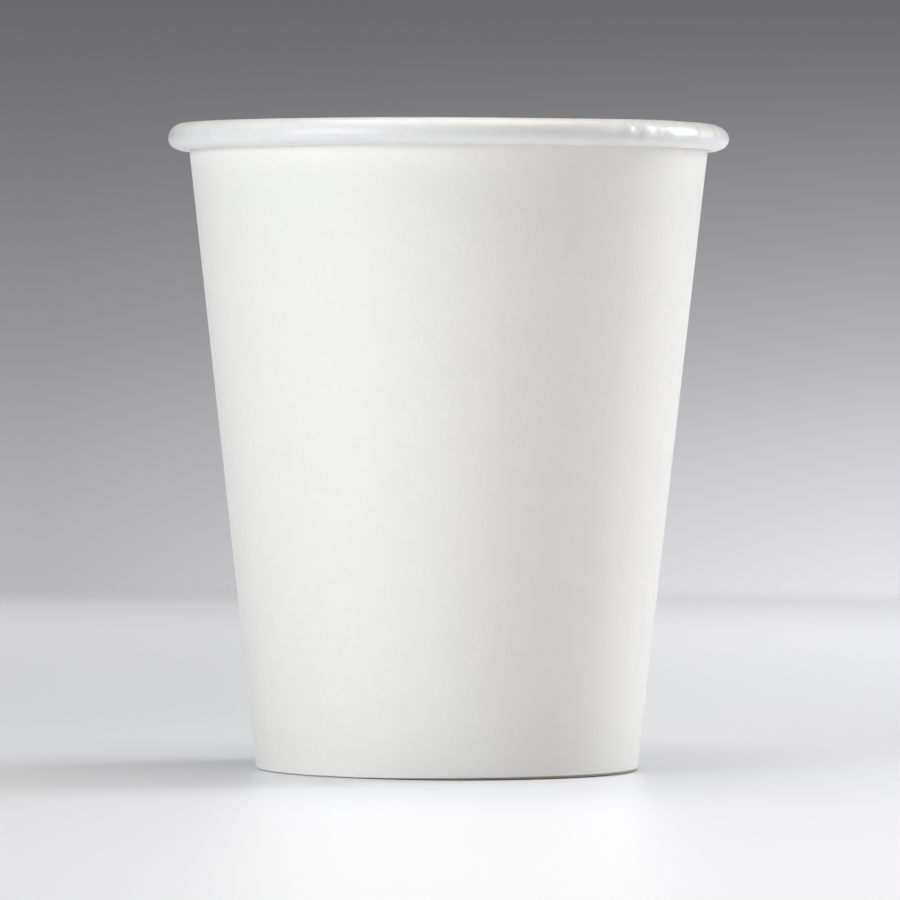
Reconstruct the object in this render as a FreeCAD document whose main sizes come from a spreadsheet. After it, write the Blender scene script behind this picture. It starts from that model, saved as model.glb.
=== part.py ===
import FreeCAD, Part
import math
import os

import Sketcher

# Paper hot-drink cup, single wall, for 8 fluid ounces. Millimetres.
# The cup is two pieces of lined paperboard. The side wall is a fan-shaped blank that is wrapped into
# a cone and sealed to itself with a lapped seam at the back. Its top edge is curled outward into the
# rolled rim, and its bottom margin is folded inward and up as a hem. The bottom disc has its edge
# turned down as a skirt, which is sealed between the wall and the hem.
# The origin is the centre of the foot, on the surface that the cup stands on. The front faces -Y.

SIZES = {
    # the whole cup
    "cup_height": (92.0, "foot to top of rim"),
    "rim_radius": (40.0, "outermost edge of the rolled rim, for an 80 mm lid"),
    "foot_radius": (27.25, "outer edge of the foot"),
    # the board
    "board_thickness": (0.35, "lined board of the side wall"),
    "disc_thickness": (0.30, "lined board of the bottom disc"),
    # the rolled rim, radii of the lined face that shows
    "rim_overhang": (2.84, "outer face of the wall to the rim's outermost edge"),
    "shoulder_radius": (1.08, "turn from the wall into the top of the roll"),
    "roll_radius": (2.20, "top and outer side of the roll"),
    "lip_radius": (1.40, "turn from the outer side to the underside"),
    "underside_slope": (16.0, "degrees that the underside falls towards the wall"),
    "tuck_radius": (0.15, "turn of the free edge up inside the roll, inside both plies"),
    "tuck_leg": (0.50, "straight end of the board inside the roll"),
    "tuck_gap": (0.05, "clearance between the wall and the tucked end"),
    # the foot
    "disc_level": (7.0, "surface below to the underside of the disc"),
    "disc_bend_radius": (0.18, "inside of the bend from disc to skirt"),
    "hem_margin": (1.0, "underside of the disc down to the free edge of the hem"),
    "fold_radius": (0.07, "inside of the two creases at the foot"),
    "seal_gap": (0.025, "clearance on each side of the skirt, filled by the melted lining"),
    "skirt_gap": (0.30, "clearance under the skirt, above the folded board"),
    # the side seam, at the back
    "seam_azimuth": (90.0, "degrees from +X to the middle of the overlap"),
    "lap_width": (7.0, "overlap of the board's two ends, round the rim"),
    "ramp_width": (2.4, "length in which one end climbs over the other, round the rim"),
}

# Formulas of the sheet's values that more than one piece or section uses.
BOARD = "sizes.board_thickness"
TWO_BOARDS = f"2 * {BOARD}"
ROLL_MIDDLE = "sizes.cup_height - sizes.roll_radius"
UNDER_RIM = "sizes.rim_radius - sizes.rim_overhang"
DISC_TOP = "sizes.disc_level + sizes.disc_thickness"
DISC_OUTER_BEND = "sizes.disc_bend_radius + sizes.disc_thickness"
POCKET = "sizes.disc_thickness + 2 * sizes.seal_gap"
HEM_EDGE = "sizes.disc_level - sizes.hem_margin"
SKIRT_EDGE = f"{TWO_BOARDS} + sizes.skirt_gap"
TUCK_BEND = f"sizes.tuck_radius + {TWO_BOARDS}"
LAP_ANGLE = "(sizes.lap_width / sizes.rim_radius) * 1 rad"
RAMP_ANGLE = "(sizes.ramp_width / sizes.rim_radius) * 1 rad"
HALF_LAP = f"{LAP_ANGLE} / 2"

# How the sketcher names the points of a line or arc, and the sketch's own origin and axes.
START, END, CENTRE = 1, 2, 3
ORIGIN = (-1, START)
RADIAL_AXIS = -1
AXIS_OF_CUP = -2
RIGHT_ANGLE = math.pi / 2
FULL_TURN = 360
UPRIGHT = FreeCAD.Rotation(0, 0, 90)  # yaw, pitch and roll: stands a flat sketch up, radius by height

doc = FreeCAD.newDocument("paper_cup")


def make_sheet():
    sheet = doc.addObject("Spreadsheet::Sheet", "sizes")
    for row, (alias, (value, meaning)) in enumerate(SIZES.items(), start=1):
        sheet.set(f"A{row}", alias)
        sheet.set(f"B{row}", str(value))
        sheet.setAlias(f"B{row}", alias)
        sheet.set(f"C{row}", meaning)
    doc.recompute()
    return sheet


sizes = make_sheet()


class Outline:
    """A sketch that is drawn like a strip of paper being folded: straights and tangent bends."""

    def __init__(self, sketch, start, heading):
        self.sketch = sketch
        self.place = FreeCAD.Vector(start[0], start[1], 0)
        self.heading = heading
        self.ends = []

    def straight(self, length, joint="Tangent"):
        step = FreeCAD.Vector(math.cos(self.heading), math.sin(self.heading), 0) * length
        line = self.sketch.addGeometry(Part.LineSegment(self.place, self.place + step))
        self.place = self.place + step
        self._join(line, START, END, joint)
        return line

    def bend(self, radius, turn):
        """A bend to the left for a positive turn in radians, to the right for a negative one."""
        side = math.copysign(RIGHT_ANGLE, turn)
        towards = FreeCAD.Vector(math.cos(self.heading + side), math.sin(self.heading + side), 0)
        centre = self.place + towards * radius
        first = self.heading - side
        last = first + turn
        circle = Part.Circle(centre, FreeCAD.Vector(0, 0, 1), radius)
        arc = self.sketch.addGeometry(Part.ArcOfCircle(circle, min(first, last), max(first, last)))
        self.place = centre + FreeCAD.Vector(math.cos(last), math.sin(last), 0) * radius
        self.heading += turn
        if turn > 0:
            self._join(arc, START, END, "Tangent")
        else:
            self._join(arc, END, START, "Tangent")
        return arc

    def corner(self, length, turn):
        """A sharp turn, as at a cut edge, and the straight after it."""
        self.heading += turn
        return self.straight(length, "Coincident")

    def close(self):
        last, exit_point = self.ends[-1]
        first = self.ends[0][0]
        self.sketch.addConstraint(Sketcher.Constraint("Coincident", last, exit_point, first, START))

    def _join(self, geometry, entry, leave, kind):
        if self.ends:
            before, exit_point = self.ends[-1]
            self.sketch.addConstraint(Sketcher.Constraint(kind, before, exit_point, geometry, entry))
        self.ends.append((geometry, leave))


def measure(formula):
    """The present value of a formula, in millimetres or radians."""
    result = sizes.evalExpression(formula.replace("sizes.", ""))
    if hasattr(result, "Unit") and result.Unit.Type == "Angle":
        return math.radians(result.Value)
    return getattr(result, "Value", result)


def size(sketch, kind, places, name, formula):
    """A dimension of a sketch that follows a formula of the sheet's values."""
    index = sketch.addConstraint(Sketcher.Constraint(kind, *places, measure(formula)))
    sketch.renameConstraint(index, name)
    sketch.setExpression(f"Constraints.{name}", formula)


def draw_outer_face(sketch):
    """A guide line along the wall's outer face, from the foot's edge up to the middle of the roll."""
    foot = FreeCAD.Vector(sizes.foot_radius, 0, 0)
    under_rim = FreeCAD.Vector(measure(UNDER_RIM), measure(ROLL_MIDDLE), 0)
    guide = sketch.addGeometry(Part.LineSegment(foot, under_rim), True)
    sketch.addConstraint(Sketcher.Constraint("PointOnObject", guide, START, RADIAL_AXIS))
    size(sketch, "DistanceX", (*ORIGIN, guide, START), "foot", "sizes.foot_radius")
    size(sketch, "DistanceX", (*ORIGIN, guide, END), "under_rim", UNDER_RIM)
    size(sketch, "DistanceY", (*ORIGIN, guide, END), "roll_middle", ROLL_MIDDLE)
    lean = math.atan2(under_rim.x - foot.x, under_rim.y)
    return guide, lean


def draw_board(name, azimuth, plies):
    """The lined face of the side wall's board, from the hem's free edge to the one inside the roll.

    The board's thickness lies to the right of the path: outside the wall and inside the roll. Where
    the board's two ends lap, plies is 2, and the path leaves room for the second ply, which lies
    below the first at the foot and between it and the wall inside the roll.
    """
    sketch = doc.addObject("Sketcher::SketchObject", name)
    sketch.Placement = FreeCAD.Placement(FreeCAD.Vector(), UPRIGHT)
    sketch.setExpression("Placement.Rotation.Yaw", azimuth)
    guide, lean = draw_outer_face(sketch)
    fold_level = f"{plies} * {BOARD}"
    tuck_place = f"{plies} * {BOARD} + sizes.tuck_gap"
    shoulder_level = "sizes.cup_height - sizes.shoulder_radius"
    slope_angle = "sizes.underside_slope * 1 deg"

    # The first drawing is close to the final form, and the dimensions below settle it.
    slope = math.radians(sizes.underside_slope)
    crease_top = measure(fold_level) + sizes.fold_radius
    hem_length = (measure(HEM_EDGE) - crease_top) / math.cos(lean)
    hem_top = sizes.foot_radius - sizes.board_thickness - measure(POCKET) + hem_length * math.sin(lean)
    wall_length = (sizes.cup_height - sizes.shoulder_radius - crease_top) / math.cos(lean)
    past_tuck = measure(tuck_place) - measure(BOARD) + measure(TUCK_BEND) * (1 + math.sin(slope))
    past_lip = sizes.lip_radius * (1 - math.sin(slope))
    underside_length = (sizes.rim_overhang - past_tuck - past_lip) / math.cos(slope)

    strip = Outline(sketch, (hem_top, measure(HEM_EDGE)), -RIGHT_ANGLE - lean)
    hem = strip.straight(hem_length)
    inner_crease = strip.bend(sizes.fold_radius, RIGHT_ANGLE + lean)
    fold = strip.straight(measure(POCKET) - 2 * sizes.fold_radius)
    outer_crease = strip.bend(sizes.fold_radius, RIGHT_ANGLE - lean)
    wall = strip.straight(wall_length)
    shoulder = strip.bend(sizes.shoulder_radius, lean - RIGHT_ANGLE)
    roll = strip.bend(sizes.roll_radius, -RIGHT_ANGLE)
    lip = strip.bend(sizes.lip_radius, slope - RIGHT_ANGLE)
    underside = strip.straight(underside_length)
    turn_in = strip.bend(measure(TUCK_BEND), -RIGHT_ANGLE - slope - lean)
    tuck = strip.straight(sizes.tuck_leg)

    sketch.addConstraint(Sketcher.Constraint("Parallel", guide, wall))
    sketch.addConstraint(Sketcher.Constraint("Parallel", wall, hem))
    sketch.addConstraint(Sketcher.Constraint("Parallel", wall, tuck))
    sketch.addConstraint(Sketcher.Constraint("Horizontal", fold))
    sketch.addConstraint(Sketcher.Constraint("Horizontal", roll, START, roll, CENTRE))
    sketch.addConstraint(Sketcher.Constraint("Equal", inner_crease, outer_crease))

    size(sketch, "Distance", (guide, START, wall), "board", BOARD)
    size(sketch, "Distance", (hem, START, wall), "pocket", POCKET)
    size(sketch, "DistanceY", (*ORIGIN, hem, START), "hem_edge", HEM_EDGE)
    size(sketch, "DistanceY", (*ORIGIN, fold, START), "fold_level", fold_level)
    size(sketch, "Radius", (inner_crease,), "crease", "sizes.fold_radius")
    size(sketch, "DistanceX", (*ORIGIN, roll, START), "rim", "sizes.rim_radius")
    size(sketch, "DistanceY", (*ORIGIN, shoulder, CENTRE), "shoulder_level", shoulder_level)
    size(sketch, "Radius", (shoulder,), "shoulder", "sizes.shoulder_radius")
    size(sketch, "Radius", (roll,), "roll", "sizes.roll_radius")
    size(sketch, "Radius", (lip,), "lip", "sizes.lip_radius")
    size(sketch, "Angle", (RADIAL_AXIS, START, underside, END), "slope", slope_angle)
    size(sketch, "Radius", (turn_in,), "turn_in", TUCK_BEND)
    size(sketch, "Distance", (tuck, END, wall), "tuck_place", tuck_place)
    size(sketch, "Distance", (tuck, START, tuck, END), "tuck_leg", "sizes.tuck_leg")
    return sketch


def thicken(name, path, thickness, filled=True):
    """A strip of board to the right of a path, or only the far face of that strip."""
    strip = doc.addObject("Part::Offset2D", name)
    strip.Source = path
    strip.Mode = "Skin"
    strip.Fill = filled
    strip.setExpression("Value", f"-({thickness})")
    return strip


def sweep_round(name, section, angle):
    turned = doc.addObject("Part::Revolution", name)
    turned.Source = section
    turned.Axis = FreeCAD.Vector(0, 0, 1)
    turned.Solid = True
    turned.setExpression("Angle", angle)
    return turned


def join_straight(name, first, last):
    """The short run of board between two sections that differ by the step of the seam."""
    run = doc.addObject("Part::Loft", name)
    run.Sections = [first, last]
    run.Ruled = True
    run.Solid = True
    return run


def make_side_wall():
    """One blank, wrapped round and lapped over itself by the seam, from the hem up into the rim."""
    # Going round, the board has the lap, a short fall to one ply, the plain wall, and a short climb
    # of its last end on to the outside of its first end. The middle of the lap is drawn on +X, and
    # the finished wall is turned to bring it to the back.
    lap_path = draw_board("lap_path", f"-{HALF_LAP}", 2)
    lap_end_path = draw_board("lap_end_path", HALF_LAP, 2)
    plain_path = draw_board("plain_path", f"{HALF_LAP} + {RAMP_ANGLE}", 1)
    last_path = draw_board("last_path", f"-{HALF_LAP} - {RAMP_ANGLE}", 1)

    both_plies = thicken("both_plies", lap_path, TWO_BOARDS)
    first_ply_back = thicken("first_ply_back", lap_path, BOARD, filled=False)
    second_ply = thicken("second_ply", first_ply_back, BOARD)
    first_ply = thicken("first_ply", lap_end_path, BOARD)
    plain_board = thicken("plain_board", plain_path, BOARD)
    last_of_plain = thicken("last_of_plain", last_path, BOARD)

    lap = sweep_round("lap", both_plies, LAP_ANGLE)
    fall = join_straight("fall", first_ply, plain_board)
    plain = sweep_round("plain", plain_board, f"{FULL_TURN} deg - {LAP_ANGLE} - 2 * {RAMP_ANGLE}")
    climb = join_straight("climb", last_of_plain, second_ply)

    wall = doc.addObject("Part::MultiFuse", "wall")
    wall.Shapes = [plain, climb, lap, fall]
    wall.Refine = True
    wall.Label = "side_wall"
    wall.setExpression("Placement.Rotation.Yaw", "sizes.seam_azimuth * 1 deg")
    return wall


def make_bottom_disc():
    """A round blank, flat across the cup and bent down into the skirt, lined face up and outward."""
    body = doc.addObject("PartDesign::Body", "disc")
    body.Label = "bottom_disc"
    section = body.newObject("Sketcher::SketchObject", "disc_section")
    upright_plane = [item for item in body.Origin.OriginFeatures if item.Role == "XZ_Plane"]
    section.AttachmentSupport = upright_plane
    section.MapMode = "FlatFace"
    guide, lean = draw_outer_face(section)

    skirt_outside = sizes.foot_radius - sizes.board_thickness - sizes.seal_gap
    flat_length = skirt_outside + measure(DISC_TOP) * math.tan(lean) - measure(DISC_OUTER_BEND)
    skirt_length = sizes.disc_level - sizes.disc_bend_radius - measure(SKIRT_EDGE)

    strip = Outline(section, (0, measure(DISC_TOP)), 0)
    top = strip.straight(flat_length)
    outer_bend = strip.bend(measure(DISC_OUTER_BEND), -RIGHT_ANGLE - lean)
    skirt = strip.straight(skirt_length)
    edge = strip.corner(sizes.disc_thickness, -RIGHT_ANGLE)
    inside = strip.corner(skirt_length, -RIGHT_ANGLE)
    inner_bend = strip.bend(sizes.disc_bend_radius, RIGHT_ANGLE + lean)
    underside = strip.straight(flat_length)
    centre = strip.corner(sizes.disc_thickness, -RIGHT_ANGLE)
    strip.close()

    section.addConstraint(Sketcher.Constraint("Horizontal", top))
    section.addConstraint(Sketcher.Constraint("Horizontal", underside))
    section.addConstraint(Sketcher.Constraint("PointOnObject", top, START, AXIS_OF_CUP))
    section.addConstraint(Sketcher.Constraint("Vertical", centre))
    section.addConstraint(Sketcher.Constraint("Parallel", guide, skirt))
    section.addConstraint(Sketcher.Constraint("Parallel", skirt, inside))
    section.addConstraint(Sketcher.Constraint("Perpendicular", skirt, edge))
    section.addConstraint(Sketcher.Constraint("Coincident", inner_bend, CENTRE, outer_bend, CENTRE))

    size(section, "DistanceY", (*ORIGIN, top, START), "disc_top", DISC_TOP)
    size(section, "Distance", (guide, START, skirt), "skirt_place", f"{BOARD} + sizes.seal_gap")
    size(section, "DistanceY", (*ORIGIN, skirt, END), "skirt_edge", SKIRT_EDGE)
    size(section, "Radius", (outer_bend,), "outer_bend", DISC_OUTER_BEND)
    size(section, "Distance", (edge, START, edge, END), "thickness", "sizes.disc_thickness")

    turned = body.newObject("PartDesign::Revolution", "disc_turned")
    turned.Profile = section
    turned.ReferenceAxis = (section, ["V_Axis"])
    turned.Angle = FULL_TURN
    section.Visibility = False
    return body


def write_steps(pieces):
    doc.recompute()
    for item in doc.Objects:
        if "Invalid" in item.State or "Error" in item.State:
            raise RuntimeError(f"{item.Label} failed: {item.State}")
        if item.isDerivedFrom("Sketcher::SketchObject") and not item.FullyConstrained:
            raise RuntimeError(f"{item.Label} lacks a dimension")
    for piece in pieces:
        shape = piece.Shape
        if shape.isNull() or not shape.isValid() or len(shape.Solids) != 1:
            raise RuntimeError(f"{piece.Label} is not one valid solid")
        box = shape.optimalBoundingBox(False)
        print(f"{piece.Label}: {shape.Volume:.1f} mm3, {box.XLength:.2f} x {box.YLength:.2f} mm, "
              f"from {box.ZMin:.2f} up to {box.ZMax:.2f} mm")
    os.makedirs("parts", exist_ok=True)
    for piece in pieces:
        piece.Shape.exportStep(f"parts/{piece.Label}.step")


write_steps([make_side_wall(), make_bottom_disc()])
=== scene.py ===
# %% [markdown]
# # A paper cup for hot drinks
# A real paper cup is only two pieces of board, and one face of the board carries a thin plastic
# lining. The side wall is a fan-shaped blank, wrapped into a cone and sealed to itself along a seam.
# Its top edge is curled outward into the rolled rim, and its lower margin is folded inward and up.
# The bottom is a round blank whose edge is turned down into a skirt, held between wall and fold.
# So nothing here is carved from a cylinder: each piece is drawn as a strip of board, turned round
# the axis of the cup, and given its thickness last, as a thin sheet would be.
#
# The measured model is loaded first. It is the frame that every piece has to sit in, and its box is
# kept.

# %% Load the measured model
import math

import bpy
import numpy as np
from mathutils import Matrix, Vector


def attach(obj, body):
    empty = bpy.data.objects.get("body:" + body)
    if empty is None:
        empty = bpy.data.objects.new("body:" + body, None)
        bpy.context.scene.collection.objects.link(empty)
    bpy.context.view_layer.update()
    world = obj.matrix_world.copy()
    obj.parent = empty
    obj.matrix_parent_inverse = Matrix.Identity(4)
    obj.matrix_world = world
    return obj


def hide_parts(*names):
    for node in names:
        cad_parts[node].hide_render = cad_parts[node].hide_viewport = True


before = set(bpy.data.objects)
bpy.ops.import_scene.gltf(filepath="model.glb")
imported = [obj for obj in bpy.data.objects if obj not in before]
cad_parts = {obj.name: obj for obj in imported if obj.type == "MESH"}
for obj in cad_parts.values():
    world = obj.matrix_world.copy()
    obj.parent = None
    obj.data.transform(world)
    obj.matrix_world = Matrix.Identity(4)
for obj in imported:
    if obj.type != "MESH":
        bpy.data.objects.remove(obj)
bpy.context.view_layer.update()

bpy.ops.object.select_all(action="DESELECT")

# %% [markdown]
# ## The sizes
# The sizes are those of a cup for eight fluid ounces with an 80 mm rim, in millimetres, because that
# is how board and tools are measured. Blender works in metres, so every length is turned into metres
# where it is used. `lean` is how far the wall tilts outward from upright.

# %% Name the sizes
MM = 0.001
CUP_HEIGHT = 92.0
RIM_RADIUS = 40.0
FOOT_RADIUS = 27.25
BOARD = 0.35
DISC_BOARD = 0.30
RIM_OVERHANG = 2.84
SHOULDER_RADIUS = 1.08
ROLL_RADIUS = 2.20
LIP_RADIUS = 1.40
UNDERSIDE_SLOPE = math.radians(16)
TUCK_RADIUS = 0.85
TUCK_LEG = 0.50
TUCK_GAP = 0.05
FOLD_RADIUS = 0.07
POCKET = 0.35
HEM_TOP = 6.0
DISC_TOP = 7.3
DISC_BEND = 0.48
SKIRT_EDGE = 1.0
SEAL_GAP = 0.025
SEAM = math.radians(90)
LAP = 7.0 / RIM_RADIUS
RAMP = 2.4 / RIM_RADIUS
QUARTER = math.pi / 2

lean = math.atan2(RIM_RADIUS - RIM_OVERHANG - FOOT_RADIUS, CUP_HEIGHT - ROLL_RADIUS)


def lined_face(height):
    """Radius of the wall's lined inner face at a height."""
    return FOOT_RADIUS + height * math.tan(lean) - BOARD / math.cos(lean)


print(f"the wall leans {math.degrees(lean):.2f} degrees, "
      f"and its lined face is {lined_face(0):.2f} mm from the axis at the floor")

# %% [markdown]
# ## Drawing a strip of board
# Seen edge on, a folded sheet is a line of straight runs and bends. It could be drawn as a curve, but
# then its bends would be only near their real radius. Here one point is extruded for each straight
# run, and spun round a centre for each bend, so every radius is exact. Two short runs at the ends of
# a long one hold its faces flat, because smooth shading would otherwise bleed from the bend into it.

# %% Helpers that draw the strip
HOLD = 0.12


def new_point(name, radius, height, azimuth):
    """A mesh with one point, in the upright plane through the axis at this azimuth."""
    bpy.ops.object.select_all(action="DESELECT")
    place = (radius * math.cos(azimuth) * MM, radius * math.sin(azimuth) * MM, height * MM)
    bpy.ops.mesh.primitive_plane_add(size=MM, location=place)
    piece = bpy.context.object
    piece.name = piece.data.name = name
    bpy.ops.object.transform_apply(location=True)
    bpy.ops.object.mode_set(mode="EDIT")
    bpy.ops.mesh.merge(type="CENTER")
    bpy.ops.object.mode_set(mode="OBJECT")
    bpy.ops.object.mode_set(mode="EDIT")
    return piece


class Strip:
    """Draws with the point that is selected. A positive turn bends to the left, seen with up on top."""

    def __init__(self, name, radius, height, heading, azimuth):
        self.piece = new_point(name, radius, height, azimuth)
        self.azimuth = azimuth
        self.place = np.array([radius, height])
        self.heading = heading
        self.marks = {"start": 0}

    def in_space(self, flat):
        out = Vector((math.cos(self.azimuth), math.sin(self.azimuth), 0))
        return (out * flat[0] + Vector((0, 0, flat[1]))) * MM

    def mark(self, name):
        """Remembers the number of the point that was drawn last."""
        bpy.ops.object.mode_set(mode="OBJECT")
        self.marks[name] = len(self.piece.data.vertices) - 1
        bpy.ops.object.mode_set(mode="EDIT")

    def straight(self, length, runs=1):
        lengths = [length] if runs == 1 else [HOLD] + [(length - 2 * HOLD) / runs] * runs + [HOLD]
        for part in lengths:
            step = np.array([math.cos(self.heading), math.sin(self.heading)]) * part
            bpy.ops.mesh.extrude_region_move(TRANSFORM_OT_translate={"value": self.in_space(step)})
            self.place = self.place + step

    def bend(self, radius, turn, steps):
        side = self.heading + math.copysign(QUARTER, turn)
        centre = self.place + radius * np.array([math.cos(side), math.sin(side)])
        axis = (-math.sin(self.azimuth), math.cos(self.azimuth), 0)
        bpy.ops.mesh.spin(steps=steps, angle=turn, center=self.in_space(centre), axis=axis)
        self.heading += turn
        away = self.heading - math.copysign(QUARTER, turn)
        self.place = centre + radius * np.array([math.cos(away), math.sin(away)])


# %% [markdown]
# ## The side wall, edge on
# The line follows the lined face, because the lining is what shows inside the cup and over the rim.
# It starts at the free edge of the hem under the cup, goes down, folds outward and up twice, climbs
# the wall, curls over as the rim, and ends tucked up inside the roll. The curl isn't one circle: it
# leaves the wall tightly, opens over the top, and closes again under the lip.

# %% Draw the side wall's board
first_edge = SEAM - LAP / 2
hem_radius = lined_face(HEM_TOP) - POCKET / math.cos(lean)
inner_crease = FOLD_RADIUS * math.tan((QUARTER + lean) / 2)
outer_crease = FOLD_RADIUS * math.tan((QUARTER - lean) / 2)
wall_end = CUP_HEIGHT - SHOULDER_RADIUS + SHOULDER_RADIUS * math.sin(lean)
shoulder_radius = lined_face(wall_end) + SHOULDER_RADIUS * math.cos(lean)
crest_angle = math.asin((shoulder_radius - RIM_RADIUS + ROLL_RADIUS) / (ROLL_RADIUS - SHOULDER_RADIUS))
wall_start = BOARD + FOLD_RADIUS * (1 - math.sin(lean))

wall_strip = Strip("side_wall_sheet", hem_radius, HEM_TOP, -QUARTER - lean, first_edge)
wall_strip.straight((HEM_TOP - BOARD) / math.cos(lean) - inner_crease, runs=4)
wall_strip.mark("fold")
wall_strip.bend(FOLD_RADIUS, QUARTER + lean, 4)
wall_strip.straight(POCKET / math.cos(lean) - inner_crease - outer_crease)
wall_strip.bend(FOLD_RADIUS, QUARTER - lean, 4)
wall_strip.mark("wall")
wall_strip.straight((wall_end - wall_start) / math.cos(lean), runs=30)
wall_strip.mark("shoulder")
wall_strip.bend(SHOULDER_RADIUS, lean - QUARTER - crest_angle, 9)
wall_strip.mark("roll")
wall_strip.bend(ROLL_RADIUS, crest_angle - QUARTER, 10)
wall_strip.mark("lip")
wall_strip.bend(LIP_RADIUS, UNDERSIDE_SLOPE - QUARTER, 8)

# The underside runs until the bend after it leaves the tucked end beside the wall.
across_underside = np.array([-math.sin(UNDERSIDE_SLOPE), math.cos(UNDERSIDE_SLOPE)])
past_bend = wall_strip.place + TUCK_RADIUS * across_underside
spare = (past_bend[0] - lined_face(past_bend[1])) * math.cos(lean) - TUCK_RADIUS - BOARD - TUCK_GAP
wall_strip.straight(spare / math.cos(UNDERSIDE_SLOPE + lean))
wall_strip.mark("turn_in")
wall_strip.bend(TUCK_RADIUS, -QUARTER - UNDERSIDE_SLOPE - lean, 8)
wall_strip.straight(TUCK_LEG)
wall_strip.mark("end")
print("the board's line has", wall_strip.marks["end"] + 1, "points; it turns over at", wall_strip.marks)

# %% [markdown]
# ## Wrapping the blank round
# The real blank is longer than once round, so that its two ends can be sealed on each other. The line
# is therefore spun round the axis by a full turn and the width of the lap. Spin makes one column of
# points after another, so a point's number tells how far along the blank it is, even at the lap,
# where the same azimuth is passed twice.

# %% Spin the line into a sheet
COLUMNS = 370
blank_turn = 2 * math.pi + LAP

bpy.ops.mesh.select_all(action="SELECT")
bpy.ops.mesh.spin(steps=COLUMNS, angle=blank_turn, center=(0, 0, 0), axis=(0, 0, -1), use_auto_merge=False)
bpy.ops.object.mode_set(mode="OBJECT")
side_wall = wall_strip.piece
rows = wall_strip.marks["end"] + 1
turned = np.array([point.co for point in side_wall.data.vertices]).reshape(COLUMNS + 1, rows, 3) / MM
radii = np.hypot(turned[..., 0], turned[..., 1])
heights = turned[..., 2].copy()
along_blank = np.linspace(0, blank_turn, COLUMNS + 1)
azimuths = first_edge + along_blank
if np.ptp(radii, axis=0).max() > 0.01:
    raise RuntimeError("the columns of the sheet aren't in order")
print("the sheet has", COLUMNS + 1, "columns of", rows, "points")

# %% [markdown]
# ## The lapped seam
# At the back the first end of the blank lies inside and the last end outside. That needs room: over
# the lap the inner ply is folded one board higher at the foot and tucked in one board sooner in the
# roll, and the outer ply follows it at one board's distance. Two short ramps bring each ply back to
# the plain wall. Modelling this as two overlapping cylinders would leave a step with no board in it,
# so the columns are moved instead, with a smooth weight along each ramp.

# %% Move the columns of the lap
PLY_STEP = BOARD + 0.01


def ease(start, end, value):
    t = np.clip((value - start) / (end - start), 0, 1)
    return t * t * (3 - 2 * t)


def beside(path, distance):
    """The path moved to its right by an even distance."""
    runs = np.diff(path, axis=0)
    runs /= np.linalg.norm(runs, axis=1, keepdims=True)
    right = np.stack([runs[:, 1], -runs[:, 0]], axis=1)
    both = np.concatenate([right[:1], right[:-1] + right[1:], right[-1:]])
    both /= np.linalg.norm(both, axis=1, keepdims=True)
    narrowing = np.concatenate([[1], np.sum(both[1:-1] * right[1:], axis=1), [1]])
    return path + distance * both / narrowing[:, None]


plain_path = np.stack([radii[0], heights[0]], axis=1)
inner_path = plain_path.copy()
marks = wall_strip.marks
folded = slice(marks["fold"] - 1, marks["wall"] + 2)
tucked = slice(marks["turn_in"], marks["end"] + 1)
inner_path[folded] += PLY_STEP * np.array([math.tan(lean), 1])
tuck_shift = PLY_STEP / math.cos(UNDERSIDE_SLOPE + lean)
inner_path[tucked] += tuck_shift * np.array([math.cos(UNDERSIDE_SLOPE), math.sin(UNDERSIDE_SLOPE)])
outer_path = beside(inner_path, PLY_STEP)

is_inner = 1 - ease(LAP, LAP + RAMP, along_blank)
is_outer = ease(2 * math.pi - RAMP, 2 * math.pi, along_blank)
section = (plain_path[None] + is_inner[:, None, None] * (inner_path - plain_path)[None]
           + is_outer[:, None, None] * (outer_path - plain_path)[None])
print(f"the lap is {math.degrees(LAP):.1f} degrees wide: "
      f"{LAP * FOOT_RADIUS:.1f} mm at the foot and {LAP * RIM_RADIUS:.1f} mm at the rim")

# %% [markdown]
# ## What the machine and the hand leave behind
# A perfect sheet looks like plastic. A real rim is slightly wavy where the curling tool caught the
# board, the foot doesn't touch all round, and the wall keeps faint upright ripples from the mandrel.
# All of it is well under half a millimetre, but it moves the highlights, so it belongs in the shape
# and not only in the finish. Each change is a product of two weights: one that runs round the cup, and
# one that picks the rows of the sheet. The second one fades in and out, so no row gets a hard edge.

# %% Helpers that weigh places on the sheet
# The angle from the front of the cup, positive to the right.
front = (azimuths + QUARTER + math.pi) % (2 * math.pi) - math.pi
row_heights = plain_path[:, 1]


def near(centre, width):
    """A soft hill round the cup, 1 at the centre. Angles in degrees from the front."""
    away = (front - math.radians(centre) + math.pi) % (2 * math.pi) - math.pi
    return np.exp(-(away / math.radians(width)) ** 2)


def rows_near(radius, height, reach):
    """A soft hill over the rows of the sheet, 1 at this place of the section."""
    return np.exp(-((plain_path[:, 0] - radius) ** 2 + (row_heights - height) ** 2) / reach ** 2)


def move_out(millimetres, round_cup, rows_weight):
    section[..., 0] += millimetres * np.outer(round_cup, rows_weight)


def move_up(millimetres, round_cup, rows_weight):
    section[..., 1] += millimetres * np.outer(round_cup, rows_weight)


# %% Wave the rim
# The waves are strong from the front right to the right side, and hardly show elsewhere.
waves_begin = ease(math.radians(18), math.radians(34), front)
waves_end = 1 - ease(math.radians(70), math.radians(84), front)
strong_waves = np.sin(front * 50 + 1.5 * np.sin(front * 9)) + 0.5 * np.sin(front * 83 + 2)
rim_waves = strong_waves * waves_begin * waves_end
rim_waves += 0.12 * np.sin(front * 37) + 0.1 * np.sin(front * 83 + 1)
move_up(0.060, rim_waves, rows_near(39.5, 90.9, 0.9))
move_out(0.075, rim_waves, rows_near(39.8, 90.4, 1.0))

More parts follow.
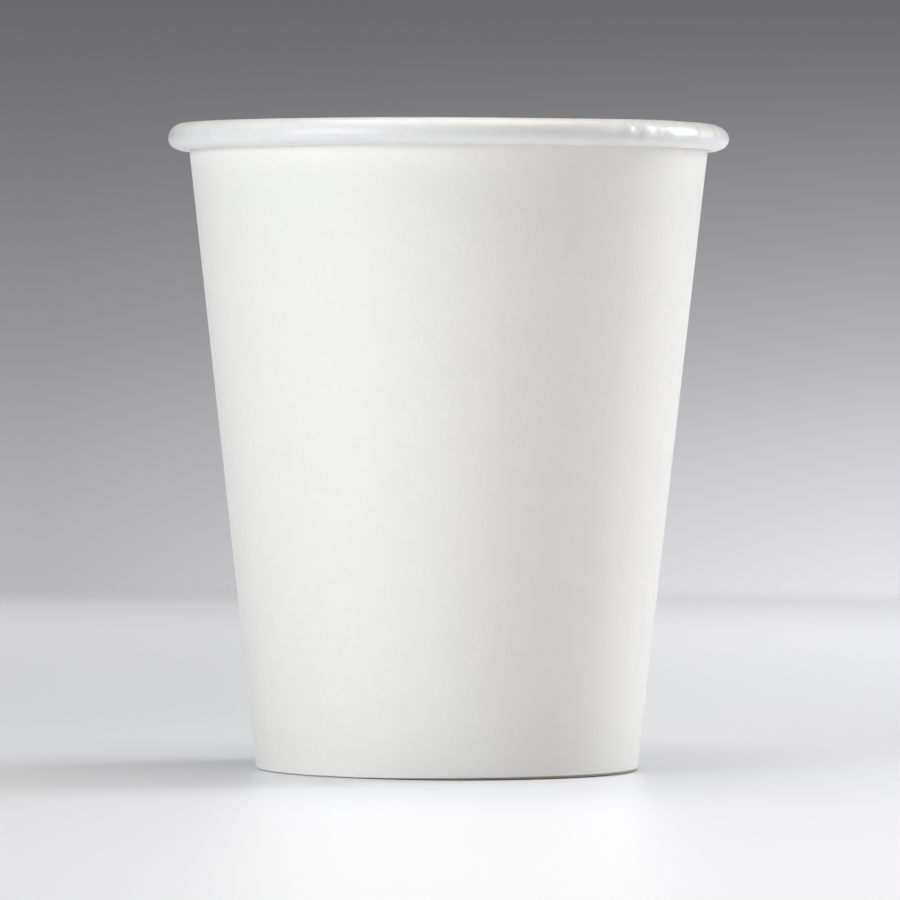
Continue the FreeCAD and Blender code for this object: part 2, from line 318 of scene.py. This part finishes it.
# The crest sags at the right end, and a little in two places nearer the front. The lip sags at both ends.
crest = rows_near(38.6, 91.9, 1.8)
move_up(-0.30, near(82, 20), rows_near(38.9, 91.7, 1.7))
move_up(-0.06, near(60, 4), crest)
move_up(-0.09, near(24, 26), crest)
move_up(-0.14, near(90, 25) + near(-90, 25), rows_near(38.0, 88.3, 1.2))
print(f"the rim waves by {0.075 * np.abs(rim_waves).max():.2f} mm")

# %% Ripple the wall, lift the foot and press the hem
ripples = 0.018 * np.sin(front * 11 + 0.7) + 0.012 * np.sin(front * 23 + 2.1) + 0.008 * np.sin(front * 47)
on_wall = ease(6, 16, row_heights) * (1 - ease(84, 90, row_heights))
fading = 0.6 + 0.4 * np.sin(row_heights / 17)
section[..., 0] += np.outer(ripples, on_wall * fading)

lift = 0.02 + 0.02 * np.cos(front * 3)
at_foot = 1 - ease(0.5, 7, row_heights)
section[..., 1] += np.outer(lift * (1 - near(180, 30)), at_foot)

# A toothed wheel presses the hem on the disc's skirt, which leaves fine upright lines in it.
PRESSED_DEPTH = 0.05
pressed = ease(0.9, 1.4, row_heights) * (1 - ease(5.0, 5.5, row_heights))
pressed[marks["fold"]:] = 0
section[..., 0] -= PRESSED_DEPTH * np.outer(np.arange(COLUMNS + 1) % 2, pressed)
print(f"the ripples reach {np.abs(ripples).max():.3f} mm, and the foot lifts by up to {lift.max():.2f} mm")

# %% [markdown]
# ## Setting the cup down
# In the photograph the cup leans a fifth of a degree to the left, as a cup does whose foot isn't quite
# flat, and its rim tips a little more. The object itself has to stay unturned at the origin, so its
# points are moved instead. The foot gives way a little, so it isn't raised as much as the rest.

# %% Let the cup settle
LEAN_LEFT = math.radians(0.18)
RIM_TIP = math.radians(0.12)
GIVES_WAY = 0.6


def settle(points):
    """Stands the cup on the left of its foot, as it leans in the photograph, and tips its rim a little."""
    x, y, z = points[..., 0], points[..., 1], points[..., 2]
    pressed_down = GIVES_WAY * (1 - ease(1, 7, z))
    raised = LEAN_LEFT * (x + FOOT_RADIUS) * (1 - pressed_down) + RIM_TIP * x * ease(60, 92, z)
    return np.stack([x - LEAN_LEFT * z, y, z + raised], axis=-1)


sheet = np.stack([section[..., 0] * np.cos(azimuths)[:, None], section[..., 0] * np.sin(azimuths)[:, None],
                  section[..., 1]], axis=-1)
settled = settle(sheet)
side_wall.data.vertices.foreach_set("co", (settled * MM).reshape(-1).astype(np.float32))
side_wall.data.update()
print(f"the sheet now reaches from {settled[..., 2].min():.3f} to {settled[..., 2].max():.2f} mm high")

# %% [markdown]
# ## Thickness and the three surfaces of board
# A sheet of board has a lined face, an uncoated face and a raw cut edge, and each looks different.
# Solidify grows the thickness away from the lined face, and its material offsets give the far face
# and the cut edge their own slots. The faces have to point to the lined side before that, so their
# direction is checked against the wall, where the lined side looks towards the axis.

# %% A helper that gives a sheet its thickness
SMOOTH_BELOW = math.radians(38)


def face_lined_side(piece, is_lined_way):
    """Makes all faces agree, and turns them over if they don't point to the lined side."""
    bpy.ops.object.select_all(action="DESELECT")
    piece.select_set(True)
    bpy.context.view_layer.objects.active = piece
    bpy.ops.object.mode_set(mode="EDIT")
    bpy.ops.mesh.select_all(action="SELECT")
    bpy.ops.mesh.normals_make_consistent(inside=False)
    bpy.ops.object.mode_set(mode="OBJECT")
    largest = max(piece.data.polygons, key=lambda face: face.area)
    if not is_lined_way(largest):
        bpy.ops.object.mode_set(mode="EDIT")
        bpy.ops.mesh.flip_normals()
        bpy.ops.object.mode_set(mode="OBJECT")


def give_thickness(piece, thickness):
    """The lined face stays where it is. Slots: 0 lined face, 1 uncoated face, 2 cut edge."""
    solidify = piece.modifiers.new("board", "SOLIDIFY")
    solidify.thickness = thickness * MM
    solidify.offset = -1
    solidify.use_even_offset = True
    solidify.material_offset = 1
    solidify.material_offset_rim = 2
    bpy.ops.object.modifier_apply(modifier=solidify.name)
    bpy.ops.object.shade_smooth_by_angle(angle=SMOOTH_BELOW)
    piece.data.calc_loop_triangles()
    print(piece.name, "has", len(piece.data.loop_triangles), "triangles")


# %% [markdown]
# ## The finishes
# The fibre of the board shows in all three of its surfaces, so it is a node group that is built once
# and placed in each material: soft clouds where the pulp is denser, a fine grain, thin strands, and a
# rare brown fleck. The skin of the lining is a second group, which keeps the lined face's own nodes
# few: a slow ripple, a slightly uneven gloss, and the fine lines that curling leaves across the rim.
# Both groups put out only masks and heights. The shader itself stays in each material.

# %% Helpers for node trees
def node(tree, kind, **settings):
    made = tree.nodes.new(kind)
    for name, value in settings.items():
        setattr(made, name, value)
    return made


def wire(tree, source, target):
    tree.links.new(source, target)


def math_node(tree, operation, first, second=None):
    """A calculation with one or two things, each a number or a socket."""
    made = node(tree, "ShaderNodeMath", operation=operation)
    for slot_number, value in enumerate((first, second)):
        if isinstance(value, bpy.types.NodeSocket):
            wire(tree, value, made.inputs[slot_number])
        elif value is not None:
            made.inputs[slot_number].default_value = value
    return made.outputs[0]


def spread(tree, value, low, high, to_low=0.0, to_high=1.0):
    """Stretches the part of a value from low to high over a new range."""
    made = node(tree, "ShaderNodeMapRange", interpolation_type="SMOOTHSTEP")
    wire(tree, value, made.inputs["Value"])
    for name, number in (("From Min", low), ("From Max", high), ("To Min", to_low), ("To Max", to_high)):
        made.inputs[name].default_value = number
    return made.outputs["Result"]


def noise(tree, place, scale, detail=2.0, roughness=0.5, distortion=0.0):
    made = node(tree, "ShaderNodeTexNoise")
    wire(tree, place, made.inputs["Vector"])
    for name, number in (("Scale", scale), ("Detail", detail), ("Roughness", roughness),
                         ("Distortion", distortion)):
        made.inputs[name].default_value = number
    return made.outputs["Fac"]


def new_group(name, outputs):
    """A shader node group with a place to read, and value outputs of these names."""
    tree = bpy.data.node_groups.new(name, "ShaderNodeTree")
    tree.interface.new_socket("Place", in_out="INPUT", socket_type="NodeSocketVector")
    for output in outputs:
        tree.interface.new_socket(output, in_out="OUTPUT", socket_type="NodeSocketFloat")
    return tree, node(tree, "NodeGroupInput").outputs["Place"], node(tree, "NodeGroupOutput")


# %% Build the fibre of the board
fibre_group, place, result = new_group("board_fibre", ("Clouds", "Grain", "Strands", "Flecks"))

clouds = noise(fibre_group, place, 260, detail=4, roughness=0.6)
wire(fibre_group, spread(fibre_group, clouds, 0.3, 0.7), result.inputs["Clouds"])

grain = noise(fibre_group, place, 2700, detail=3, roughness=0.65)
wire(fibre_group, spread(fibre_group, grain, 0.2, 0.8), result.inputs["Grain"])

# A strand is the thin line along which a twisted noise passes its middle value, broken up by another.
twisted = noise(fibre_group, place, 900, detail=1, distortion=1.4)
off_middle = math_node(fibre_group, "ABSOLUTE", math_node(fibre_group, "SUBTRACT", twisted, 0.5))
line = spread(fibre_group, off_middle, 0.0, 0.018, 1.0, 0.0)
broken = spread(fibre_group, noise(fibre_group, place, 420, detail=1), 0.5, 0.62)
wire(fibre_group, math_node(fibre_group, "MULTIPLY", line, broken), result.inputs["Strands"])

# A fleck is the middle of a cell, and only a few cells have one.
cells = node(fibre_group, "ShaderNodeTexVoronoi", feature="F1")
cells.inputs["Scale"].default_value = 95
wire(fibre_group, place, cells.inputs["Vector"])
middle = spread(fibre_group, cells.outputs["Distance"], 0.012, 0.035, 1.0, 0.0)
few = spread(fibre_group, cells.outputs["Color"], 0.80, 0.84)
wire(fibre_group, math_node(fibre_group, "MULTIPLY", middle, few), result.inputs["Flecks"])
print("the fibre group puts out",
      [item.name for item in fibre_group.interface.items_tree if item.in_out == "OUTPUT"])

# %% Build the skin of the lining
film_group, place, result = new_group("lining_skin", ("Ripple", "Gloss change", "Curl lines"))
ripple = noise(film_group, place, 420, detail=2, roughness=0.4)
wire(film_group, spread(film_group, ripple, 0.3, 0.7), result.inputs["Ripple"])
gloss = noise(film_group, place, 150, detail=3, roughness=0.5)
wire(film_group, spread(film_group, gloss, 0.35, 0.65), result.inputs["Gloss change"])

# Curling squeezes the board round the rim, so fine lines run across it. They change only with the azimuth.
parts = node(film_group, "ShaderNodeSeparateXYZ")
wire(film_group, place, parts.inputs[0])
azimuth = math_node(film_group, "ARCTAN2", parts.outputs["Y"], parts.outputs["X"])
round_rim = node(film_group, "ShaderNodeCombineXYZ")
wire(film_group, azimuth, round_rim.inputs["X"])
wire(film_group, math_node(film_group, "MULTIPLY", parts.outputs["Z"], 90), round_rim.inputs["Y"])
lines = noise(film_group, round_rim.outputs[0], 95, detail=3, roughness=0.7)
wire(film_group, spread(film_group, lines, 0.3, 0.7), result.inputs["Curl lines"])
print("the lining group puts out",
      [item.name for item in film_group.interface.items_tree if item.in_out == "OUTPUT"])

# %% [markdown]
# Uncoated board is satin and slightly warm, and its colour drifts by a percent or so with the clouds.
# A little sheen stands for the fine fibres on its face, which catch light where it turns away.
# The band at the foot, where three layers are pressed together, is painted a little darker. It is
# painted shade, for the light that shines through the single wall but less through the thick foot.
# The lowest edge is painted with a brownish line that is wider on the right, a painted shadow of the
# thin gap where the foot stands off the table. The lined face is the same white board under a clear
# film, so it is smoother, a touch cooler and a little darker. The cut edge shows the loose middle of
# the board. The numbers that are the same everywhere are set on the shader.

# %% A helper that starts a material
def new_material(name, roughness, specular, coat=0.0, coat_roughness=0.1):
    material = bpy.data.materials.new(name)
    material.use_nodes = True
    tree = material.node_tree
    shader = tree.nodes["Principled BSDF"]
    shader.inputs["Roughness"].default_value = roughness
    shader.inputs["Specular IOR Level"].default_value = specular
    shader.inputs["Coat Weight"].default_value = coat
    shader.inputs["Coat Roughness"].default_value = coat_roughness
    place = node(tree, "ShaderNodeTexCoord").outputs["Object"]
    return material, tree, shader, place


def use_group(tree, group, place):
    made = node(tree, "ShaderNodeGroup", node_tree=group)
    wire(tree, place, made.inputs["Place"])
    return made.outputs


def tint(tree, base, shade, amount):
    """Mixes two colours by a mask. The base is a colour or a socket."""
    made = node(tree, "ShaderNodeMix", data_type="RGBA")
    if isinstance(base, bpy.types.NodeSocket):
        wire(tree, base, made.inputs[6])
    else:
        made.inputs[6].default_value = (*base, 1)
    made.inputs[7].default_value = (*shade, 1)
    wire(tree, amount, made.inputs[0])
    return made.outputs[2]


def bump(tree, shader, height, depth):
    """Raises the surface by up to this depth in millimetres."""
    made = node(tree, "ShaderNodeBump")
    made.inputs["Strength"].default_value = 1
    made.inputs["Distance"].default_value = depth * MM
    wire(tree, height, made.inputs["Height"])
    wire(tree, made.outputs["Normal"], shader.inputs["Normal"])


def scaled(tree, value, factor):
    return math_node(tree, "MULTIPLY", value, factor)


# %% The uncoated face
uncoated, tree, shader, place = new_material("uncoated_board", roughness=0.5, specular=0.5)
shader.inputs["Sheen Weight"].default_value = 0.45
shader.inputs["Sheen Roughness"].default_value = 0.4
fibre = use_group(tree, fibre_group, place)
colour = tint(tree, (0.841, 0.808, 0.757), (0.853, 0.821, 0.771), fibre["Clouds"])
colour = tint(tree, colour, (0.700, 0.680, 0.650), scaled(tree, fibre["Grain"], 0.18))
colour = tint(tree, colour, (0.900, 0.890, 0.875), scaled(tree, fibre["Strands"], 0.30))
colour = tint(tree, colour, (0.330, 0.235, 0.150), scaled(tree, fibre["Flecks"], 0.5))
height = node(tree, "ShaderNodeSeparateXYZ")
wire(tree, place, height.inputs[0])
# Painted shade: the band at the foot is darker, because less light shines through three layers of board.
painted_foot_shade = spread(tree, height.outputs["Z"], 5.2 * MM, 7.2 * MM, 1.0, 0.0)
colour = tint(tree, colour, (0.690, 0.672, 0.650), scaled(tree, painted_foot_shade, 0.06))

# The painted shadow of the gap under the foot, a brownish line, ends at a height that grows from left to
# right.
gap_shadow_top = spread(tree, height.outputs["X"], -20 * MM, 14 * MM, 0.14 * MM, 0.50 * MM)
over_gap_shadow = math_node(tree, "DIVIDE", height.outputs["Z"], gap_shadow_top)
painted_gap_shadow = spread(tree, over_gap_shadow, 0.75, 1.0, 1.0, 0.0)
colour = tint(tree, colour, (0.270, 0.195, 0.130), scaled(tree, painted_gap_shadow, 0.9))
wire(tree, colour, shader.inputs["Base Color"])

rough = spread(tree, fibre["Grain"], 0.0, 1.0, 0.46, 0.58)
wire(tree, rough, shader.inputs["Roughness"])
relief = math_node(tree, "ADD", fibre["Grain"], scaled(tree, fibre["Strands"], 0.5))
relief = math_node(tree, "ADD", relief, scaled(tree, fibre["Clouds"], 0.8))
bump(tree, shader, relief, 0.012)
print("made", uncoated.name)

# %% The lined face
lined, tree, shader, place = new_material("lined_board", roughness=0.36, specular=0.5,
                                          coat=0.50, coat_roughness=0.18)
fibre = use_group(tree, fibre_group, place)
film = use_group(tree, film_group, place)
colour = tint(tree, (0.770, 0.757, 0.740), (0.802, 0.790, 0.774), fibre["Clouds"])
colour = tint(tree, colour, (0.690, 0.676, 0.656), scaled(tree, fibre["Grain"], 0.12))
colour = tint(tree, colour, (0.420, 0.330, 0.240), scaled(tree, fibre["Flecks"], 0.5))
wire(tree, colour, shader.inputs["Base Color"])
wire(tree, spread(tree, film["Gloss change"], 0.0, 1.0, 0.32, 0.44), shader.inputs["Roughness"])
relief = math_node(tree, "ADD", scaled(tree, film["Ripple"], 3.0), scaled(tree, fibre["Grain"], 0.4))
height = node(tree, "ShaderNodeSeparateXYZ")
wire(tree, place, height.inputs[0])

# The curl lines show only on the rim.
curled = spread(tree, height.outputs["Z"], 86.5 * MM, 88.0 * MM)
curl_lines = math_node(tree, "MULTIPLY", curled, scaled(tree, film["Curl lines"], 4.0))
relief = math_node(tree, "ADD", relief, curl_lines)
bump(tree, shader, relief, 0.006)
print("made", lined.name)

# %% The cut edge
cut_edge, tree, shader, place = new_material("cut_edge", roughness=0.9, specular=0.2)
fibre = use_group(tree, fibre_group, place)
colour = tint(tree, (0.800, 0.780, 0.745), (0.700, 0.675, 0.635), fibre["Grain"])
colour = tint(tree, colour, (0.880, 0.870, 0.850), fibre["Strands"])
wire(tree, colour, shader.inputs["Base Color"])
bump(tree, shader, fibre["Grain"], 0.02)
print("made", cut_edge.name)

# %% Finish the side wall
def add_finishes(piece):
    for material in (lined, uncoated, cut_edge):
        piece.data.materials.append(material)


def looks_at_axis(face):
    return face.normal.x * face.center.x + face.normal.y * face.center.y < 0


add_finishes(side_wall)
face_lined_side(side_wall, looks_at_axis)
side_wall.name = "paper_side_wall"
give_thickness(side_wall, BOARD)

# %% [markdown]
# ## The bottom disc
# The disc is a round blank with its edge drawn down over a former. It could be a cylinder with an
# inset, but its bend has a real radius and the skirt leans with the wall, so it is drawn edge on and
# spun, as the wall was. Pressing a flat disc round a bend leaves too much board at the edge, which
# gathers in many tiny pleats. They are made by moving every other column of the bend and skirt.

# %% Draw and spin the bottom disc
DISC_COLUMNS = 240
skirt_face = lined_face(DISC_TOP) - SEAL_GAP / math.cos(lean)
bend_run = DISC_BEND * math.tan((QUARTER + lean) / 2)

disc_strip = Strip("bottom_disc_sheet", 0, DISC_TOP, 0, 0)
disc_strip.straight(skirt_face - bend_run, runs=14)
disc_strip.mark("bend")
disc_strip.bend(DISC_BEND, -QUARTER - lean, 7)
disc_strip.mark("skirt")
disc_strip.straight((DISC_TOP - SKIRT_EDGE) / math.cos(lean) - bend_run, runs=3)
disc_strip.mark("end")
bpy.ops.mesh.select_all(action="SELECT")
bpy.ops.mesh.spin(steps=DISC_COLUMNS, angle=2 * math.pi, center=(0, 0, 0), axis=(0, 0, -1),
                  use_auto_merge=False)
bpy.ops.mesh.select_all(action="SELECT")
bpy.ops.mesh.remove_doubles(threshold=0.001 * MM)
bpy.ops.object.mode_set(mode="OBJECT")
bottom_disc = disc_strip.piece
print("the disc has", len(bottom_disc.data.vertices), "points")

# %% Make the disc uneven and give it its thickness
CROWN_HEIGHT = 0.12
PLEAT_DEPTH = 0.02
BEND_START = 26

for point in bottom_disc.data.vertices:
    radius = math.hypot(point.co.x, point.co.y) / MM
    azimuth = math.atan2(point.co.y, point.co.x)
    column = round(azimuth / (2 * math.pi) * DISC_COLUMNS)
    crown = CROWN_HEIGHT * math.exp(-(radius / 14) ** 2)
    crown += 0.02 * math.sin(3 * azimuth + 1) * (radius / 27) ** 2
    if point.co.z > (DISC_TOP - 0.2) * MM:
        point.co.z += crown * MM * max(0, 1 - (radius / 25.5) ** 6)
    if radius > BEND_START and column % 2:
        drawn_in = PLEAT_DEPTH * min(1, (radius - BEND_START) / 0.6)
        point.co.x -= drawn_in * MM * math.cos(azimuth)
        point.co.y -= drawn_in * MM * math.sin(azimuth)
    point.co = Vector(settle(np.array(point.co) / MM) * MM)


def looks_up(face):
    return face.normal.z > 0


add_finishes(bottom_disc)
face_lined_side(bottom_disc, looks_up)
bottom_disc.name = "paper_bottom_disc"
give_thickness(bottom_disc, DISC_BOARD)

# %% [markdown]
# ## Putting the pieces on the frame
# Each finished piece rides on the model's only body, and the plain solid that it stands for is hidden.

# %% Tie the pieces to the frame
for piece, solid, board_slot in ((side_wall, "side_wall", "wall_board"),
                                 (bottom_disc, "bottom_disc", "disc_board")):
    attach(piece, "root")
    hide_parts(solid)
    print(piece.name, "stands for", solid)

# %% [markdown]
# ## The floor and the backdrop
# The cup stands on a pale, slightly glossy table that runs into a grey backdrop with a soft line. The
# floor is a disc that fades out at its edge, and behind it the world is painted with a slow
# gradient, darker upward and lighter to the right. A real backdrop wall would stand in the way of
# every view from behind. Only the rays that look at the background see the gradient. The light that
# falls on the cup comes from a plain world colour and from the lamps.

# %% Lay the floor
FLOOR_RADIUS = 0.72
bpy.ops.object.select_all(action="DESELECT")
bpy.ops.mesh.primitive_circle_add(vertices=96, radius=FLOOR_RADIUS, fill_type="NGON", location=(0, 0, 0))
floor = bpy.context.object
floor.name = "table_top"
bpy.ops.object.mode_set(mode="EDIT")
bpy.ops.mesh.select_all(action="SELECT")
bpy.ops.mesh.inset(thickness=0.12)
bpy.ops.object.mode_set(mode="OBJECT")

table, tree, shader, place = new_material("table_top", roughness=0.4, specular=0.4)
spot = node(tree, "ShaderNodeSeparateXYZ")
wire(tree, place, spot.inputs[0])
# Painted light: the table is painted darker on the left and lighter on the right, as the light falls on
# it.
painted_light_across = spread(tree, spot.outputs["X"], -0.09, 0.09)
colour = tint(tree, (0.755, 0.770, 0.812), (0.893, 0.905, 0.955), painted_light_across)
wire(tree, colour, shader.inputs["Base Color"])
distance = node(tree, "ShaderNodeVectorMath", operation="LENGTH")
wire(tree, place, distance.inputs[0])
wire(tree, spread(tree, distance.outputs["Value"], 0.58, 0.71, 1.0, 0.0), shader.inputs["Alpha"])
floor.data.materials.append(table)
print("the floor reaches", FLOOR_RADIUS, "m")

# %% Paint the world
world = bpy.data.worlds.new("studio")
bpy.context.scene.world = world
world.use_nodes = True
tree = world.node_tree
tree.nodes.clear()

look = node(tree, "ShaderNodeTexCoord").outputs["Generated"]
direction = node(tree, "ShaderNodeSeparateXYZ")
wire(tree, look, direction.inputs[0])


def grey_ramp(stops):
    """Greys at places from the bottom of the backdrop, 0, to its top, 1."""
    made = node(tree, "ShaderNodeValToRGB")
    made.color_ramp.interpolation = "B_SPLINE"
    elements = made.color_ramp.elements
    while len(elements) < len(stops):
        elements.new(0.5)
    for element, (position, grey) in zip(elements, stops):
        element.position = position
        element.color = (grey, grey * 0.995, grey * 1.05, 1)
    return made


def linear_range(value, low, high):
    made = node(tree, "ShaderNodeMapRange")
    wire(tree, value, made.inputs["Value"])
    made.inputs["From Min"].default_value = low
    made.inputs["From Max"].default_value = high
    return made.outputs["Result"]


# Only a small part of the world is behind the cup, so each gradient is stretched over that part.
up = linear_range(direction.outputs["Z"], -0.038, 0.042)
left_side = grey_ramp(((0.0, 0.52), (0.45, 0.29), (1.0, 0.12)))
right_side = grey_ramp(((0.0, 0.86), (0.45, 0.415), (1.0, 0.10)))
wire(tree, up, left_side.inputs["Fac"])
wire(tree, up, right_side.inputs["Fac"])
backdrop = node(tree, "ShaderNodeMix", data_type="RGBA")
wire(tree, linear_range(direction.outputs["X"], -0.055, 0.057), backdrop.inputs[0])
wire(tree, left_side.outputs["Color"], backdrop.inputs[6])
wire(tree, right_side.outputs["Color"], backdrop.inputs[7])

seen = node(tree, "ShaderNodeBackground")
wire(tree, backdrop.outputs[2], seen.inputs["Color"])
light = node(tree, "ShaderNodeBackground")
light.inputs["Color"].default_value = (1.0, 0.95, 0.88, 1)
light.inputs["Strength"].default_value = 0.05
path = node(tree, "ShaderNodeLightPath")
looked_at = math_node(tree, "MAXIMUM", path.outputs["Is Camera Ray"], path.outputs["Is Glossy Ray"])
looked_at = math_node(tree, "MAXIMUM", looked_at, path.outputs["Is Transmission Ray"])
choice = node(tree, "ShaderNodeMixShader")
wire(tree, looked_at, choice.inputs[0])
wire(tree, light.outputs[0], choice.inputs[1])
wire(tree, seen.outputs[0], choice.inputs[2])
wire(tree, choice.outputs[0], node(tree, "ShaderNodeOutputWorld").inputs["Surface"])
print("the world has", len(tree.nodes), "nodes")

# %% [markdown]
# ## The lamps
# Soft area lamps do what the studio did. The big one, in front on the left, shapes the wall. A
# smaller panel on the right, a little behind, brightens the right edge, and between the two the cup
# is dimmest just right of its middle. One overhead catches the crest of the rim. The last two are
# strips with a narrow spread, low over the table before and behind the cup. They hardly reach the cup,
# but the table throws their light back up, and that is what fills the shadow under the rim.

# %% Hang the lamps
cup_middle = Vector((0, 0, CUP_HEIGHT / 2 * MM))
near_table = Vector((0.32, -0.23, 0))
far_table = Vector((0.12, 0.50, 0))


def hang_lamp(name, from_front, elevation, distance, size, power, colour, aim):
    """An area lamp that looks at a place. Angles in degrees, from the front, right positive."""
    turn, rise = math.radians(from_front), math.radians(elevation)
    way = Vector((math.sin(turn) * math.cos(rise), -math.cos(turn) * math.cos(rise), math.sin(rise)))
    place = aim + distance * way
    data = bpy.data.lights.new(name, "AREA")
    data.shape = "RECTANGLE"
    data.size, data.size_y = size
    data.energy = power
    data.color = colour
    lamp = bpy.data.objects.new(name, data)
    lamp.location = place
    lamp.rotation_euler = (aim - place).to_track_quat("-Z", "Y").to_euler()
    bpy.context.scene.collection.objects.link(lamp)
    print(f"{name}: {distance} m away, {power} W")
    return lamp


hang_lamp("front_left_softbox", -46, 8, 1.2, (0.9, 0.9), 13.3, (0.87, 0.945, 1.0), cup_middle)
hang_lamp("right_rear_panel", 113, 20, 1.0, (0.45, 0.6), 7.5, (0.89, 0.95, 1.0), cup_middle)
hang_lamp("top_softbox", 180, 89, 1.1, (1.0, 1.0), 11.0, (1.0, 0.945, 0.88), cup_middle)
near_strip = hang_lamp("near_table_strip", 0, 89, 0.38, (0.9, 0.25), 0.215, (1.0, 0.93, 0.84), near_table)
far_strip = hang_lamp("far_table_strip", 0, 89, 0.45, (1.2, 0.25), 0.26, (1.0, 0.97, 0.94), far_table)
near_strip.data.spread = far_strip.data.spread = math.radians(65)

# %% [markdown]
# ## The camera
# The camera stands about a metre away, a little lower than the rim, with a long lens. That is why the
# foot looks almost straight and the rim shows its underside. It is rolled by a third of a degree, as
# the one in the photograph was.

# %% Set up the camera
CAMERA_DISTANCE = 1.05
TO_THE_RIGHT = 0.19 * MM
CAMERA_ROLL = math.radians(0.35)

camera_data = bpy.data.cameras.new("camera")
camera_data.sensor_width = 36
camera_data.lens = 294.0
camera = bpy.data.objects.new("camera", camera_data)
camera.location = (TO_THE_RIGHT, -CAMERA_DISTANCE, 0.065)
target = Vector((TO_THE_RIGHT, 0, 45.54 * MM))
tilt = math.atan2(target.z - camera.location.z, CAMERA_DISTANCE)
turned_camera = Matrix.Rotation(QUARTER + tilt, 3, "X") @ Matrix.Rotation(CAMERA_ROLL, 3, "Z")
camera.rotation_euler = turned_camera.to_euler()
bpy.context.scene.collection.objects.link(camera)
bpy.context.scene.camera = camera
bpy.context.scene.view_settings.view_transform = "Standard"
print(f"the camera looks {math.degrees(-tilt):.2f} degrees down")
